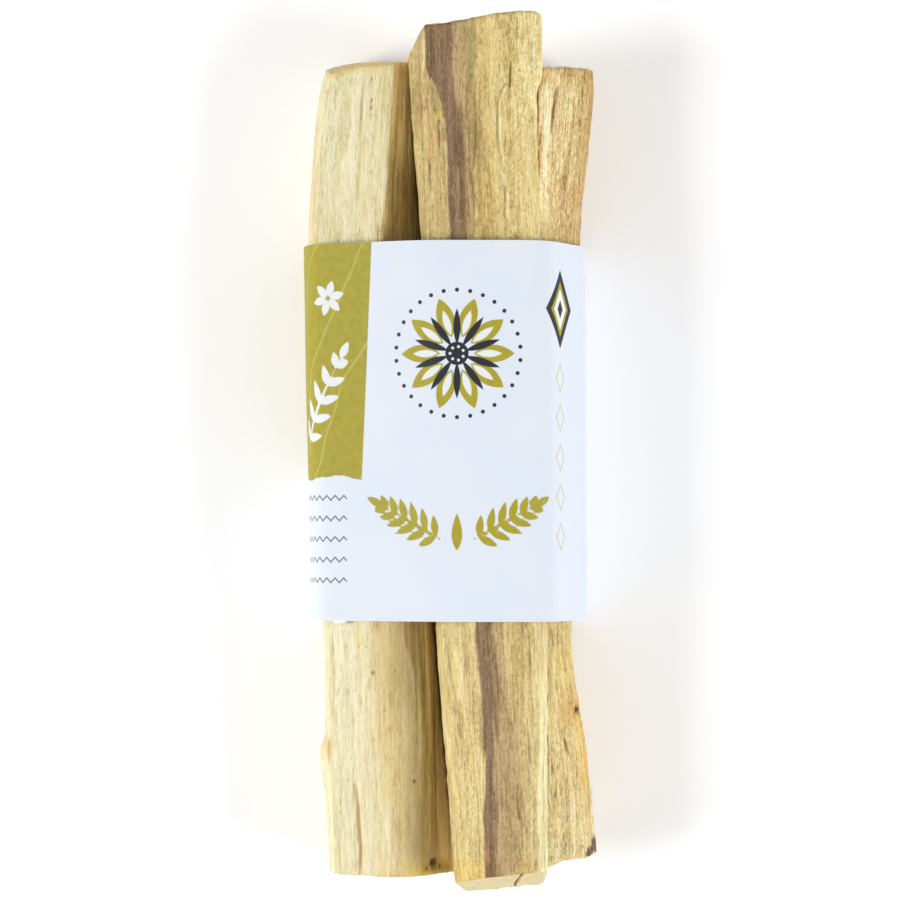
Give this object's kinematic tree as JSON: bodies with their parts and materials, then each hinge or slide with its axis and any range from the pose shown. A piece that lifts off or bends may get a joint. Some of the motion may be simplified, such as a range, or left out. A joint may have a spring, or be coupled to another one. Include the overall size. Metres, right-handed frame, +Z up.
{
  "type": "palo santo stick bundle",
  "caption": "Split palo santo wood sticks lying together, with one resting on the others, held by a wide wrapped paper band that laps on the underside.",
  "frame": {"origin": "on the surface that the bundle lies on, under the middle of its bounding box", "axes": "+Y along the sticks, towards the end where the front stick reaches furthest; +X to the right seen from above; +Z up, away from the surface, through the middle of the band's printed face"},
  "size_m": [0.0346, 0.1024, 0.0194],
  "materials": {
    "pale_wood": "matte",
    "streaked_wood": "matte",
    "golden_wood": "matte",
    "printed_paper": "satin"
  },
  "bodies": {
    "root": {"stick_left": "pale_wood", "stick_front": "streaked_wood", "stick_right": "golden_wood", "paper_band": "printed_paper"}
  },
  "joints": []
}
